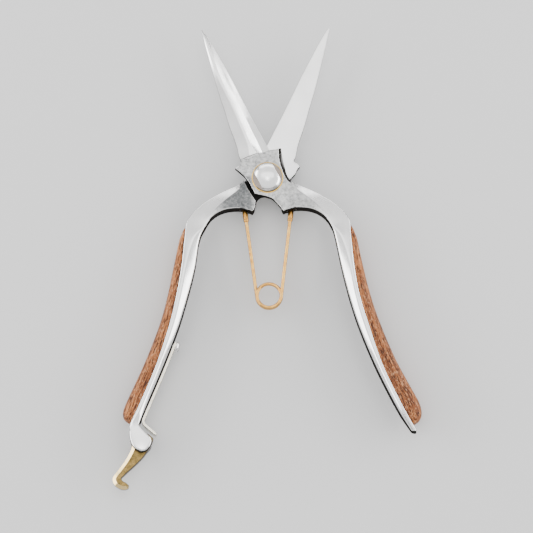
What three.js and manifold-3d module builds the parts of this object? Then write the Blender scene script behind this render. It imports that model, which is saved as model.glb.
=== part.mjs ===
// Floral snips: two forged steel arms on one pivot, walnut grip scales, a brass wire spring
// between the handles and a brass catch at the end of the left handle.
// Millimetres, +Z up. The snips lie flat with the blade tips towards +Y and open by bladeAngle.
// The pivot axis is the Z axis, and z = 0 is the plane that the snips rest on.

import * as THREE from 'three';
import { mergeVertices } from 'three/addons/utils/BufferGeometryUtils.js';
import Module from 'manifold-3d';

const wasm = await Module();
wasm.setup();

// ---- Driving dimensions ----

const midHeight = 6.6; // height of the plane between the two blades
const plateThickness = 4; // each pivot plate, and half of a shoulder
const shearGap = 0.15; // hollow-ground relief of each blade's flat face
const clearance = 0.3; // gap between fitted pieces
const roundSides = 28; // facets of a round piece

const boltRadius = 3.5;
const boltHeadRadius = 6;
const boltHeadHeight = 2.1;
const washerRadius = 6.5;
const washerThickness = 0.4;
const nutRadius = 6.1;
const nutFlangeHeight = 1;
const nutDomeHeight = 2.9;
const nutFlatWidth = 8.3;
const nutTurn = THREE.MathUtils.degToRad(26.5);

const wireRadius = 0.72;
const coilRadius = 5;
const coilPitch = 1.8;
const coilCentre = [0, -48.7];
const coilGap = THREE.MathUtils.degToRad(3.5);
const wireSides = 8;
const legSocket = [9.7, -11.5]; // where a spring leg is held in its shoulder
const legSlant = THREE.MathUtils.degToRad(7.15);
const legSwingIn = THREE.MathUtils.degToRad(6);
const legSwingOut = THREE.MathUtils.degToRad(33);
const ferruleRadius = 1.1;
const ferruleLength = 6.2;

const catchPin = [53.4, -107.6];
const catchPinRadius = 1.2;
const hookHalfThickness = 1.8;
const forkHalfSlot = 2.1;
const forkHalfWidth = 4.9;
const heelReach = 6.4; // radius that the fork slot leaves free around the pin
const leafThickness = 1.1;
const leafHalfWidth = 2.6;

const screwRadius = 1.3;
const screwHeadRadius = 2.5;
const screwHeadDepth = 1.3;
const screwLength = 6.6;

// ---- Materials ----

const paint = (color, roughness, metalness) => new THREE.MeshStandardMaterial({ color, roughness, metalness });
const forgedSteel = paint(0xb4b3b1, 0.3, 1);
const polishedSteel = paint(0xd9d8d5, 0.15, 1);
const brass = paint(0xd8b070, 0.28, 1);
const springBrass = paint(0xe2c795, 0.25, 1);
const walnut = paint(0x9c6746, 0.6, 0);

// ---- Shape helpers ----

function toSolid(geometry) {
  const bare = geometry.index ? geometry.clone() : geometry;
  bare.deleteAttribute('normal');
  bare.deleteAttribute('uv');
  const merged = mergeVertices(bare, 1e-4);
  return new wasm.Manifold(new wasm.Mesh({
    numProp: 3,
    vertProperties: new Float32Array(merged.attributes.position.array),
    triVerts: new Uint32Array(merged.index.array),
  }));
}

function toGeometry(solid) {
  const mesh = solid.getMesh();
  const geometry = new THREE.BufferGeometry();
  geometry.setAttribute('position', new THREE.BufferAttribute(new Float32Array(mesh.vertProperties), 3));
  geometry.setIndex(new THREE.BufferAttribute(new Uint32Array(mesh.triVerts), 1));
  return geometry;
}

// A plate of the given outline between two heights.
function plate(points, bottom, top) {
  const outline = new THREE.Shape(points.map(([x, y]) => new THREE.Vector2(x, y)));
  const geometry = new THREE.ExtrudeGeometry(outline, { depth: top - bottom, bevelEnabled: false });
  geometry.translate(0, 0, bottom);
  return toSolid(geometry);
}

// A closed skin through rings of points, each ring a list of [x, y, z].
function loft(rings) {
  const count = rings[0].length;
  const positions = rings.flat(2);
  const centre = (ring) => [0, 1, 2].map((axis) => ring.reduce((sum, p) => sum + p[axis], 0) / count);
  const last = rings.length - 1;
  const firstCentre = rings.length * count;
  positions.push(...centre(rings[0]), ...centre(rings[last]));
  const faces = [];
  for (let k = 0; k < count; k += 1) {
    const next = (k + 1) % count;
    for (let ring = 0; ring < last; ring += 1) {
      const low = ring * count;
      const high = low + count;
      faces.push(low + k, low + next, high + next, low + k, high + next, high + k);
    }
    faces.push(firstCentre, next, k);
    faces.push(firstCentre + 1, last * count + k, last * count + next);
  }
  const geometry = new THREE.BufferGeometry();
  geometry.setAttribute('position', new THREE.Float32BufferAttribute(positions, 3));
  geometry.setIndex(faces);
  return geometry;
}

// A round bar along Z between two heights.
function post(x, y, radius, bottom, top, sides = roundSides) {
  const geometry = new THREE.CylinderGeometry(radius, radius, top - bottom, sides);
  geometry.rotateX(Math.PI / 2);
  geometry.translate(x, y, (bottom + top) / 2);
  return toSolid(geometry);
}

// A turned solid about Z from a profile of [radius, height] that starts and ends on the axis.
function turned(profile, sides = roundSides) {
  const geometry = new THREE.LatheGeometry(profile.map(([r, z]) => new THREE.Vector2(r, z)), sides);
  geometry.rotateX(Math.PI / 2);
  return toSolid(geometry);
}

function spline(points) {
  return new THREE.SplineCurve(points.map(([x, y]) => new THREE.Vector2(x, y)));
}

function mesh(name, solidOrGeometry, material) {
  const geometry = solidOrGeometry.isBufferGeometry ? solidOrGeometry : toGeometry(solidOrGeometry);
  const piece = new THREE.Mesh(geometry, material);
  piece.name = name;
  return piece;
}

// ---- Arm: blade, pivot plate, shoulder and strap, drawn for the front arm ----
// The blade points up and to the left, the handle down and to the right, and the flat shear
// face looks down. The rear arm is the same forging turned over about the Y axis.

// Blade sections across the length: y, then x of the spine, the facet line, the ridge, the
// bevel line and the edge, then the heights of the spine wall and the ridge.
const bladeSections = [
  [6, -9.2, -7.3, -2.6, -0.6, 3.6, 2.6, 3.9],
  [9, -11, -7.3, -3.4, -1.2, 2.7, 2.6, 3.9],
  [12, -11.9, -7.3, -5, -2.3, 1.4, 2.5, 3.9],
  [22, -15.2, -10.9, -9.9, -6.9, -4.1, 2.3, 3.6],
  [36, -19.4, -16.8, -15.9, -12.9, -11.2, 2, 2.9],
  [50, -23.1, -22.4, -21.2, -19.6, -18.3, 1.6, 2],
  [60, -25.5, -25.2, -24.9, -24.5, -23.8, 1.1, 1.3],
  [63.3, -26.35, -26.3, -26.25, -26.15, -26, 0.7, 0.8],
];
const bevelHeight = 0.3; // height of the bevel line as a share of the ridge

function blade() {
  const rings = bladeSections.map(([y, spine, facet, ridge, bevel, edge, wall, top]) => [
    [spine, y, wall],
    [facet, y, top],
    [ridge, y, top],
    [bevel, y, shearGap + bevelHeight * top],
    [edge, y, shearGap],
    [spine, y, shearGap],
  ]);
  return toSolid(loft(rings));
}

const plateStart = [
  [8.4, -13.1], [13, -12.5], [12.5, -2.6], [10.2, -1.3], [9.35, -0.4], [8.1, 1.65], [7.3, 4.6],
  [6.5, 8.05], [6, 10.8], [5.7, 13.3], [1.2, 11.9], [-3.9, 10.6],
];
const frontPlate = [
  ...plateStart, [-7.3, 8.5], [-11.1, 8], [-10.8, 6.7], [-11.6, 5.3], [-13.2, 4.2], [-9.6, 1],
  [-6.6, -3.6], [-5.2, -6.6], [0.1, -7.9], [1.9, -8.7], [3.5, -10.2], [6.4, -14],
];
const rearPlate = [
  ...plateStart, [-7.3, 9.7], [-10.6, 9.2], [-11, 7.5], [-12.5, 6.6], [-13.3, 5.35], [-12.1, 4.1],
  [-11.4, 2.5], [-10, 0.8], [-7.5, -2], [-5.6, -5], [-4.5, -6.5], [1, -6.6], [2.6, -6.8],
  [3.8, -7.5], [4.5, -8.7], [4.9, -10.5], [5.4, -13], [6.4, -14],
];
const shoulderOutline = [
  [10, -0.9], [8.1, -4.7], [6.35, -7.6], [5.3, -9.6], [5.7, -12], [6.4, -14], [8.4, -13.1],
  [13, -12.5], [12.5, -2.6],
];

// The strap runs from the shoulder to its end between a finger side and an outer side.
// Its section has a ridge on each face: per station the share of the thickness from the finger
// side to the ridge, then half the width at the finger side, at the ridge and at the outer side.
const shoulderFinger = [[12, -12.5], [18, -13.2], [22.9, -16], [26, -20.5]];
const shoulderOuter = [[12.5, -2.6], [20.4, -6.2], [27.7, -10.9], [33.1, -17.2]];
const shoulderShape = [[0.8, 4, 4, 2.4], [0.52, 4, 4, 2.2], [0.24, 4, 4, 2.2], [0.1, 3.9, 4.2, 3]];
const gripShape = [
  [0.2, 3.6, 4.8, 4.2], [0.42, 3.2, 5.8, 5.3], [0.58, 3, 6.2, 5.9], [0.7, 3, 6.5, 6.2],
  [0.8, 3, 6.3, 6.1], [0.85, 2.8, 5.5, 5.4],
];
const rightStrap = {
  finger: [...shoulderFinger, [27.5, -26], [29.9, -38.3], [32.9, -50.9], [36.8, -63.5], [43.5, -80.4],
    [51.7, -97.3], [57.2, -106.4]],
  outer: [...shoulderOuter, [34, -25], [35.1, -37], [37.1, -49.6], [40.6, -62.1], [46.1, -79.2],
    [53.8, -95.9], [59.6, -106.4]],
  shape: [...shoulderShape, ...gripShape, [0.9, 2.6, 4.8, 4.7]],
  scale: [[10, 0.3], [12, 2.2], [15, 3.6], [18, 4.4], [21, 4.8], [24, 6.1], [27, 7.1], [28, 6.1], [29, 2.4]],
};
const leftStrap = {
  finger: [...shoulderFinger, [28.3, -26], [30.3, -37.8], [33.5, -50], [37.4, -62.5], [43.9, -79],
    [51.2, -95.8], [54.2, -103]],
  outer: [...shoulderOuter, [34.4, -25], [35.8, -36.5], [38, -48.7], [41, -61], [46.6, -77.8],
    [53.9, -94.6], [57.6, -102.6]],
  shape: [...shoulderShape, ...gripShape, [0.9, 4.2, 4.9, 4.9]],
  scale: [[10, 0.3], [12, 2], [15, 3.2], [18, 3.6], [21, 4], [24, 4.9], [27, 5.4], [28, 4.9], [29, 2.4]],
};
const strapSteps = 3; // rings between two stations

function lerpList(list, station) {
  const index = Math.min(Math.floor(station), list.length - 2);
  const share = station - index;
  return list[index].map((value, k) => value + share * (list[index + 1][k] - value));
}

// The strap's finger and outer points, its section, the direction across it and the direction
// square to its finger side at a station.
function strapAt(strap, station) {
  const t = station / (strap.finger.length - 1);
  const fingerCurve = spline(strap.finger);
  const finger = fingerCurve.getPoint(t);
  const tangent = fingerCurve.getTangent(t);
  const normal = new THREE.Vector2(-tangent.y, tangent.x);
  const outer = spline(strap.outer).getPoint(t);
  const across = outer.clone().sub(finger).normalize();
  const [ridge, fingerHalf, ridgeHalf, outerHalf] = lerpList(strap.shape, station);
  return { finger, outer, across, normal, ridge, fingerHalf, ridgeHalf, outerHalf };
}

function strapSolid(strap) {
  const rings = [];
  const steps = (strap.finger.length - 1) * strapSteps;
  for (let step = 0; step <= steps; step += 1) {
    const at = strapAt(strap, step / strapSteps);
    const middle = at.finger.clone().lerp(at.outer, at.ridge);
    rings.push([
      [at.finger.x, at.finger.y, at.fingerHalf],
      [at.finger.x, at.finger.y, -at.fingerHalf],
      [middle.x, middle.y, -at.ridgeHalf],
      [at.outer.x, at.outer.y, -at.outerHalf],
      [at.outer.x, at.outer.y, at.outerHalf],
      [middle.x, middle.y, at.ridgeHalf],
    ]);
  }
  return toSolid(loft(rings));
}

// The pocket in a shoulder that holds a spring leg and lets it swing.
function legPocket() {
  const [x, y] = legSocket;
  const half = ferruleRadius + clearance + 0.1;
  const reach = 7;
  const side = (angle, offset) => {
    const along = [Math.sin(angle), -Math.cos(angle)];
    const start = [x + offset * along[1] * -1, y + offset * along[0]];
    return [start, [start[0] + reach * along[0], start[1] + reach * along[1]]];
  };
  const [leftTop, leftEnd] = side(-legSlant - legSwingIn, -half);
  const [rightTop, rightEnd] = side(-legSlant + legSwingOut, half);
  const outline = [leftTop, leftEnd, rightEnd, rightTop, [x + 0.8, y + half], [x - 0.8, y + half]];
  return plate(outline, -half, half);
}

function armSolid(strap, plateOutline) {
  const bore = post(0, 0, boltRadius + clearance, -plateThickness - 1, plateThickness + 1);
  return blade()
    .add(plate(plateOutline, shearGap, plateThickness))
    .add(plate(shoulderOutline, -plateThickness, plateThickness / 2))
    .add(strapSolid(strap))
    .subtract(bore)
    .subtract(legPocket());
}

// ---- Grip scale and its screws ----

const scaleGap = 0.1;

// Thickness of a scale at a ring of its strap, from the listed rings and thicknesses.
function scaleThickness(scale, ring) {
  const above = Math.max(1, scale.findIndex(([place]) => place >= ring));
  const [from, thin] = scale[above - 1];
  const [to, thick] = scale[above];
  return thin + (thick - thin) * (ring - from) / (to - from);
}

function scaleSolid(strap) {
  const rings = [];
  const [[start], [end]] = [strap.scale[0], strap.scale[strap.scale.length - 1]];
  for (let ring = start; ring <= end; ring += 1) {
    const at = strapAt(strap, ring / strapSteps);
    const depth = scaleThickness(strap.scale, ring);
    const half = at.outerHalf;
    const point = (out, width) => [
      at.outer.x + at.across.x * (scaleGap + out * depth),
      at.outer.y + at.across.y * (scaleGap + out * depth),
      width * half,
    ];
    rings.push([
      point(0, 1), point(0, -1), point(0.4, -0.97), point(0.8, -0.75), point(1, -0.3),
      point(1, 0.3), point(0.8, 0.75), point(0.4, 0.97),
    ]);
  }
  return toSolid(loft(rings));
}

// A countersunk screw from the finger side of a strap into its scale, or the hole for it.
function scaleScrew(strap, station, grow) {
  const at = strapAt(strap, station);
  const head = grow > 0 ? -2 : 0.15;
  const profile = [
    [0, head], [screwHeadRadius + grow, head], [screwHeadRadius + grow, 0.15], [screwRadius + grow, screwHeadDepth],
    [screwRadius + grow, screwLength + grow], [0, screwLength + grow],
  ];
  const geometry = new THREE.LatheGeometry(profile.map(([r, z]) => new THREE.Vector2(r, z)), 16);
  const turn = new THREE.Quaternion().setFromUnitVectors(
    new THREE.Vector3(0, 1, 0), new THREE.Vector3(at.normal.x, at.normal.y, 0));
  geometry.applyQuaternion(turn);
  geometry.translate(at.finger.x, at.finger.y, 0);
  return toSolid(geometry);
}

// ---- Catch, drawn for the rear arm before it is turned over ----

const cheekOutline = [
  [53.9, -102.2], [57, -103.4], [57.8, -105.5], [57.6, -108.5], [56.3, -111.7], [54, -113.4],
  [51.6, -113.6], [49.9, -111.7], [49.3, -109.9], [50.3, -108], [52.6, -105.6], [53.6, -103.5],
];
const hookOutline = [
  [48.1, -107.6], [48.7, -110], [51.4, -114.5], [54.8, -118.2], [61.7, -124.6], [60.4, -125.4],
  [58.2, -127.3], [58.7, -128.5], [60.2, -128.9], [62, -128.5], [63.7, -127.4], [65, -125.6],
  [65.1, -123.6], [62.2, -120.2], [59.2, -116], [56.7, -111.3], [56.6, -107.4], [55.2, -105],
  [52.8, -104.6], [50, -105.6],
];

function forkSolid() {
  const [x, y] = catchPin;
  const cheeks = plate(cheekOutline, -forkHalfWidth, forkHalfWidth);
  const slotOutline = [[x - heelReach, y - 9], [x + heelReach, y - 9]];
  for (let k = 0; k <= 12; k += 1) {
    const angle = Math.PI * (k / 12);
    slotOutline.push([x + heelReach * Math.cos(angle), y + heelReach * Math.sin(angle)]);
  }
  const slot = plate(slotOutline, -forkHalfSlot, forkHalfSlot);
  const bore = post(x, y, catchPinRadius + clearance, -forkHalfWidth - 1, forkHalfWidth + 1, 16);
  return { cheeks, cuts: [slot, bore] };
}

function hookSolid() {
  const [x, y] = catchPin;
  const bore = post(x, y, catchPinRadius + clearance, -forkHalfWidth, forkHalfWidth, 16);
  return plate(hookOutline, -hookHalfThickness, hookHalfThickness).subtract(bore);
}

// The leaf spring lies along the finger side of the strap and its lip flares over the hook's heel.
const leafStart = 22; // rings between which the leaf follows the strap
const leafEnd = 29;
const lip = [[52.4, -101.8], [51.6, -102.9], [47.2, -106.8]];

function leafSolid() {
  const inner = [];
  for (let ring = leafStart; ring <= leafEnd; ring += 1) {
    const at = strapAt(leftStrap, ring / strapSteps);
    inner.push(at.finger.clone().addScaledVector(at.normal, -clearance));
  }
  inner.push(...lip.map(([x, y]) => new THREE.Vector2(x, y)));
  const outline = inner.map((p) => [p.x, p.y]);
  for (let k = inner.length - 1; k >= 0; k -= 1) {
    const along = inner[Math.min(k + 1, inner.length - 1)].clone().sub(inner[Math.max(k - 1, 0)]).normalize();
    outline.push([inner[k].x + along.y * leafThickness, inner[k].y - along.x * leafThickness]);
  }
  return plate(outline, -leafHalfWidth, leafHalfWidth);
}

function leafScrew(grow) {
  const at = strapAt(leftStrap, leafStart / strapSteps + 0.08);
  const under = clearance + leafThickness + 0.25;
  const profile = grow > 0
    ? [[0, -under - 1], [screwRadius + grow, -under - 1], [screwRadius + grow, screwLength + grow], [0, screwLength + grow]]
    : [[0, -under - 1.8], [1.5, -under - 1.5], [2.3, -under - 0.8], [2.5, -under - 0.1], [screwRadius, -under - 0.1],
      [screwRadius, screwLength], [0, screwLength]];
  const geometry = new THREE.LatheGeometry(profile.map(([r, z]) => new THREE.Vector2(r, z)), 16);
  const turn = new THREE.Quaternion().setFromUnitVectors(
    new THREE.Vector3(0, 1, 0), new THREE.Vector3(at.normal.x, at.normal.y, 0));
  geometry.applyQuaternion(turn);
  geometry.translate(at.finger.x, at.finger.y, 0);
  return toSolid(geometry);
}

// ---- Spring wire ----

const tau = 2 * Math.PI;
const wireRise = coilPitch * (tau * 1.5 - 2 * legSlant) / tau;

// One half of the spring: side is -1 for the left leg, which runs low, and +1 for the right leg.
function springLeg(side) {
  const sweep = (tau * 1.5 - 2 * legSlant) / 2 - coilGap;
  const points = [];
  const along = new THREE.Vector2(-side * Math.sin(legSlant), -Math.cos(legSlant));
  const height = side * wireRise / 2;
  const from = ferruleLength + clearance;
  const tangent = new THREE.Vector2(...coilCentre).add(
    new THREE.Vector2(side * coilRadius * Math.cos(legSlant), -coilRadius * Math.sin(legSlant)));
  const top = new THREE.Vector2(side * legSocket[0], legSocket[1]).addScaledVector(along, from);
  for (let k = 0; k < 4; k += 1) {
    const p = top.clone().lerp(tangent, k / 4);
    points.push(new THREE.Vector3(p.x, p.y, height * (k / 4)));
  }
  const turns = 20;
  for (let k = 0; k <= turns; k += 1) {
    const swept = sweep * k / turns;
    const angle = side > 0 ? -legSlant - swept : Math.PI + legSlant + swept;
    const z = height * (1 - swept / (sweep + coilGap));
    points.push(new THREE.Vector3(
      coilCentre[0] + coilRadius * Math.cos(angle), coilCentre[1] + coilRadius * Math.sin(angle), z));
  }
  const path = new THREE.CatmullRomCurve3(points, false, 'centripetal');
  const section = new THREE.Shape();
  for (let k = 0; k < wireSides; k += 1) {
    const angle = tau * (k + 0.5) / wireSides;
    section[k === 0 ? 'moveTo' : 'lineTo'](wireRadius * Math.cos(angle), wireRadius * Math.sin(angle));
  }
  section.closePath();
  return toSolid(new THREE.ExtrudeGeometry(section, { steps: 60, extrudePath: path }));
}

function ferrule(side) {
  const geometry = new THREE.CylinderGeometry(ferruleRadius, ferruleRadius, ferruleLength, 16);
  geometry.translate(0, -ferruleLength / 2, 0);
  geometry.rotateZ(-side * legSlant);
  geometry.translate(side * legSocket[0], legSocket[1], 0);
  return geometry;
}

// ---- Pivot ----

function washer(bottom) {
  const ring = post(0, 0, washerRadius, bottom, bottom + washerThickness);
  return ring.subtract(post(0, 0, boltRadius + clearance, bottom - 1, bottom + 2));
}

const stackTop = plateThickness + washerThickness;

function boltSolid() {
  const bottom = -stackTop - boltHeadHeight;
  return turned([
    [0, bottom], [boltHeadRadius - 0.6, bottom], [boltHeadRadius, bottom + 0.6], [boltHeadRadius, -stackTop - 0.1],
    [boltRadius, -stackTop - 0.1], [boltRadius, stackTop + 2], [0, stackTop + 2],
  ]);
}

function nutSolid() {
  const base = stackTop + 0.1;
  const shoulder = base + nutFlangeHeight;
  const dome = [];
  const rise = nutDomeHeight;
  for (let k = 0; k <= 6; k += 1) {
    const angle = (Math.PI / 2) * (k / 6);
    dome.push([nutRadius * Math.cos(angle), shoulder + rise * Math.sin(angle)]);
  }
  dome[6][0] = 0;
  const body = turned([[0, base], [nutRadius, base], ...dome]);
  const half = nutFlatWidth / 2;
  const flat = (side) => {
    const geometry = new THREE.BoxGeometry(nutRadius, nutRadius * 3, 6);
    geometry.translate(side * (half + nutRadius / 2), 0, shoulder + 3);
    geometry.rotateZ(nutTurn);
    return toSolid(geometry);
  };
  const bore = post(0, 0, boltRadius + clearance, base - 1, stackTop + 2 + clearance);
  return body.subtract(flat(-1)).subtract(flat(1)).subtract(bore);
}

// ---- Assembly ----

const frontSide = new THREE.Group();
const rearSide = new THREE.Group();
rearSide.rotation.y = Math.PI;
const middle = new THREE.Group();
const snips = new THREE.Group();
for (const side of [frontSide, rearSide, middle]) {
  side.position.z = midHeight;
  snips.add(side);
}

const rightScrews = { upper: 5.3, lower: 8.3 };
const leftScrews = { upper: 5.2, lower: 6.55 };
const holeGrowth = 0.25;

let frontArm = armSolid(rightStrap, frontPlate);
let rightScale = scaleSolid(rightStrap);
for (const [place, station] of Object.entries(rightScrews)) {
  frontSide.add(mesh(`right_scale_screw_${place}`, scaleScrew(rightStrap, station, 0), polishedSteel));
  frontArm = frontArm.subtract(scaleScrew(rightStrap, station, holeGrowth));
  rightScale = rightScale.subtract(scaleScrew(rightStrap, station, holeGrowth));
}
frontSide.add(mesh('front_arm', frontArm, forgedSteel));
frontSide.add(mesh('right_grip_scale', rightScale, walnut));

const fork = forkSolid();
let rearArm = armSolid(leftStrap, rearPlate).add(fork.cheeks);
for (const cut of fork.cuts) {
  rearArm = rearArm.subtract(cut);
}
let leftScale = scaleSolid(leftStrap);
for (const [place, station] of Object.entries(leftScrews)) {
  rearSide.add(mesh(`left_scale_screw_${place}`, scaleScrew(leftStrap, station, 0), polishedSteel));
  rearArm = rearArm.subtract(scaleScrew(leftStrap, station, holeGrowth));
  leftScale = leftScale.subtract(scaleScrew(leftStrap, station, holeGrowth));
}
rearArm = rearArm.subtract(leafScrew(holeGrowth));
leftScale = leftScale.subtract(leafScrew(holeGrowth));
rearSide.add(mesh('rear_arm', rearArm, forgedSteel));
rearSide.add(mesh('left_grip_scale', leftScale, walnut));

rearSide.add(mesh('catch_hook', hookSolid(), brass));
rearSide.add(mesh('catch_pin', post(...catchPin, catchPinRadius, -forkHalfWidth, forkHalfWidth, 16), polishedSteel));
rearSide.add(mesh('catch_leaf', leafSolid().subtract(leafScrew(holeGrowth)), springBrass));
rearSide.add(mesh('catch_leaf_screw', leafScrew(0), polishedSteel));

middle.add(mesh('pivot_bolt', boltSolid(), polishedSteel));
middle.add(mesh('pivot_nut', nutSolid(), polishedSteel));
middle.add(mesh('front_washer', washer(plateThickness), brass));
middle.add(mesh('rear_washer', washer(-stackTop), brass));
middle.add(mesh('spring_left_leg', springLeg(-1), springBrass));
middle.add(mesh('spring_right_leg', springLeg(1), springBrass));
middle.add(mesh('spring_left_ferrule', ferrule(-1), brass));
middle.add(mesh('spring_right_ferrule', ferrule(1), brass));

export default snips;
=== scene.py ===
"""Floral snips: the looks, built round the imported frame.

Outlines are in millimetres in an arm's own frame, whose origin is the pivot on the plane
between the blades: the blade points up and left, the handle down and right, and the flat shear
face looks down. The rear arm is a like forging turned over about Y, with a plate outline and a
strap of its own.
"""
import math

import bmesh
import bpy
from mathutils import Matrix, Vector


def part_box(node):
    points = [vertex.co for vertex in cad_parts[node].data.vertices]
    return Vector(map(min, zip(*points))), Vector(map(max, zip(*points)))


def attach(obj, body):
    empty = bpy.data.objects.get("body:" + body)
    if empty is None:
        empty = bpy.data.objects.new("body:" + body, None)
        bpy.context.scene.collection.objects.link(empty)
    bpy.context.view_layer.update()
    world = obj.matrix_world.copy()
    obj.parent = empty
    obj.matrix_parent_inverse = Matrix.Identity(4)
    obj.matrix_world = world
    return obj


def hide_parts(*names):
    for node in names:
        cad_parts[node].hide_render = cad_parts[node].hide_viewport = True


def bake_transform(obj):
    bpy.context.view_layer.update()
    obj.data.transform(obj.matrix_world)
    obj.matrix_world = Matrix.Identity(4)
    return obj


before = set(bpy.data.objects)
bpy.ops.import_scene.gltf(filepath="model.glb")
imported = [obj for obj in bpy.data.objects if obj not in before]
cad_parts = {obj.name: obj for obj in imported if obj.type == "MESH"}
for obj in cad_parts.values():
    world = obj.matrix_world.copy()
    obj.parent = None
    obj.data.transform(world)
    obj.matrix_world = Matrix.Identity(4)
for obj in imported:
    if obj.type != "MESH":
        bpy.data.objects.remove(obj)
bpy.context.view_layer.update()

MM = 0.001
ARM_MIDDLE = sum(corner.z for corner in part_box("catch_pin")) / 2 / MM
FRONT = Matrix.Translation((0, 0, ARM_MIDDLE))
REAR = FRONT @ Matrix.Rotation(math.pi, 4, "Y")

PLATE_TOP = 4.0
SHEAR_GAP = 0.15
BORE_RADIUS = 3.8
# Above this height on the arm the blade's shallow facets keep their edges.
BLADE_START = 8.5
# Faces that would lie in one plane are set this far apart, so that joining them stays exact.
STEP = 0.01

# ---------------------------------------------------------------- mesh helpers


def blend_value(points, place):
    """Catmull-Rom through a list of equal-length tuples, at a place counted in list steps."""
    index = min(int(place), len(points) - 2)
    share = place - index
    ends = [points[max(index - 1, 0)], points[index], points[index + 1]]
    ends.append(points[min(index + 2, len(points) - 1)])
    value = []
    for before, start, end, after in zip(*ends):
        pull, push = (end - before) / 2, (after - start) / 2
        cube = (2 * start - 2 * end + pull + push) * share**3
        square = (3 * end - 3 * start - 2 * pull - push) * share**2
        value.append(cube + square + pull * share + start)
    return tuple(value)


def curve(points, steps=6, clear=0.5):
    """A smooth run through the points. It keeps its ends, and no other point lies near them."""
    ends = [tuple(points[0]), tuple(points[-1])]
    run = [blend_value(points, step / steps) for step in range(1, (len(points) - 1) * steps)]
    run = [point for point in run if min(math.dist(point, end) for end in ends) > clear]
    return [ends[0]] + run + [ends[1]]


def outline(*runs):
    """Joins runs into one closed counter-clockwise outline and drops doubled corners."""
    joined = []
    for point in [tuple(point) for run in runs for point in run]:
        if not joined or math.dist(point, joined[-1]) > 1e-4:
            joined.append(point)
    if math.dist(joined[0], joined[-1]) < 1e-4:
        joined.pop()
    turn = sum(a[0] * b[1] - a[1] * b[0] for a, b in zip(joined, joined[1:] + joined[:1]))
    return joined if turn > 0 else joined[::-1]


def arc(x, y, radius, start, end, steps=12):
    angles = [math.radians(start + (end - start) * step / steps) for step in range(steps + 1)]
    return [(x + radius * math.cos(angle), y + radius * math.sin(angle)) for angle in angles]


def inset_outline(points, insets):
    """Moves each point of a counter-clockwise outline inwards by its inset."""
    moved = []
    for index, point in enumerate(points):
        here = Vector(point)
        into = (here - Vector(points[index - 1])).normalized()
        out = (Vector(points[(index + 1) % len(points)]) - here).normalized()
        first, second = Vector((-into.y, into.x)), Vector((-out.y, out.x))
        reach = (first + second) / max(1 + first.dot(second), 0.25)
        moved.append(tuple(here + reach * insets[index]))
    return moved


def mesh_object(name, vertices, faces):
    mesh = bpy.data.meshes.new(name)
    mesh.from_pydata([tuple(v) for v in vertices], [], faces)
    mesh.update()
    piece = bpy.data.objects.new(name, mesh)
    bpy.context.collection.objects.link(piece)
    return piece


def loft(name, rings, closed=False):
    """A skin through rings of equally many points, with flat ends unless it is closed."""
    count = len(rings[0])
    vertices = [point for ring in rings for point in ring]
    faces = []
    spans = len(rings) if closed else len(rings) - 1
    for ring in range(spans):
        low, high = ring * count, ((ring + 1) % len(rings)) * count
        for k in range(count):
            following = (k + 1) % count
            faces.append((low + k, low + following, high + following, high + k))
    if not closed:
        faces.append(tuple(range(count))[::-1])
        faces.append(tuple(range(len(vertices) - count, len(vertices))))
    piece = mesh_object(name, vertices, faces)
    fix_normals(piece)
    return piece


def fix_normals(piece):
    shape = bmesh.new()
    shape.from_mesh(piece.data)
    bmesh.ops.recalc_face_normals(shape, faces=shape.faces)
    shape.to_mesh(piece.data)
    shape.free()


def slab(name, points, bottom, top, round_over=0.2, crown=None, insets=None, drop=None, steps=4):
    """A plate with rounded edges, or with a chamfer of its own at each point of both faces.

    crown is the outline at the top face, where it differs from the bottom one. A chamfer reaches
    insets in from the outline and drop down from the face.
    """
    rings = []
    for side, face, edge in ((-1, bottom, points), (1, top, crown or points)):
        stack = []
        for step in range(steps + 1):
            angle = math.pi / 2 * step / steps
            if insets:
                ring = inset_outline(edge, [value * step / steps for value in insets])
                depth = [value * (1 - step / steps) for value in drop]
            else:
                ring = inset_outline(edge, [round_over * (1 - math.cos(angle))] * len(edge))
                depth = [round_over * (1 - math.sin(angle))] * len(edge)
            stack.append([(x, y, face - side * down) for (x, y), down in zip(ring, depth)])
        rings += stack if side > 0 else stack[::-1]
    return loft(name, rings)


def lathe(name, profile, sides=96):
    """Turns a profile of (radius, height) about Z. It starts and ends on the axis or closes."""
    on_axis = profile[0][0] < 1e-6
    inner = profile[1:-1] if on_axis else profile
    rings = []
    for k in range(sides):
        angle = 2 * math.pi * k / sides
        rings.append([(r * math.cos(angle), r * math.sin(angle), z) for r, z in inner])
    if not on_axis:
        return loft(name, rings, closed=True)
    count = len(inner)
    vertices = [point for ring in rings for point in ring]
    first, last = len(vertices), len(vertices) + 1
    vertices += [(0, 0, profile[0][1]), (0, 0, profile[-1][1])]
    faces = []
    for k in range(sides):
        low, high = k * count, ((k + 1) % sides) * count
        for step in range(count - 1):
            faces.append((low + step, high + step, high + step + 1, low + step + 1))
        faces.append((first, high, low))
        faces.append((last, low + count - 1, high + count - 1))
    piece = mesh_object(name, vertices, faces)
    fix_normals(piece)
    return piece


def rounded(corners, cuts, steps=4):
    """Rounds each corner of a closed section by a curve that starts a cut away from it."""
    section = []
    for index, corner in enumerate(corners):
        here = Vector(corner)
        back = Vector(corners[index - 1]) - here
        on = Vector(corners[(index + 1) % len(corners)]) - here
        cut_back = min(cuts[index], back.length * 0.45)
        cut_on = min(cuts[index], on.length * 0.45)
        start, end = here + back.normalized() * cut_back, here + on.normalized() * cut_on
        for step in range(steps + 1):
            t = step / steps
            section.append(start * (1 - t) ** 2 + here * 2 * t * (1 - t) + end * t**2)
    return section


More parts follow.
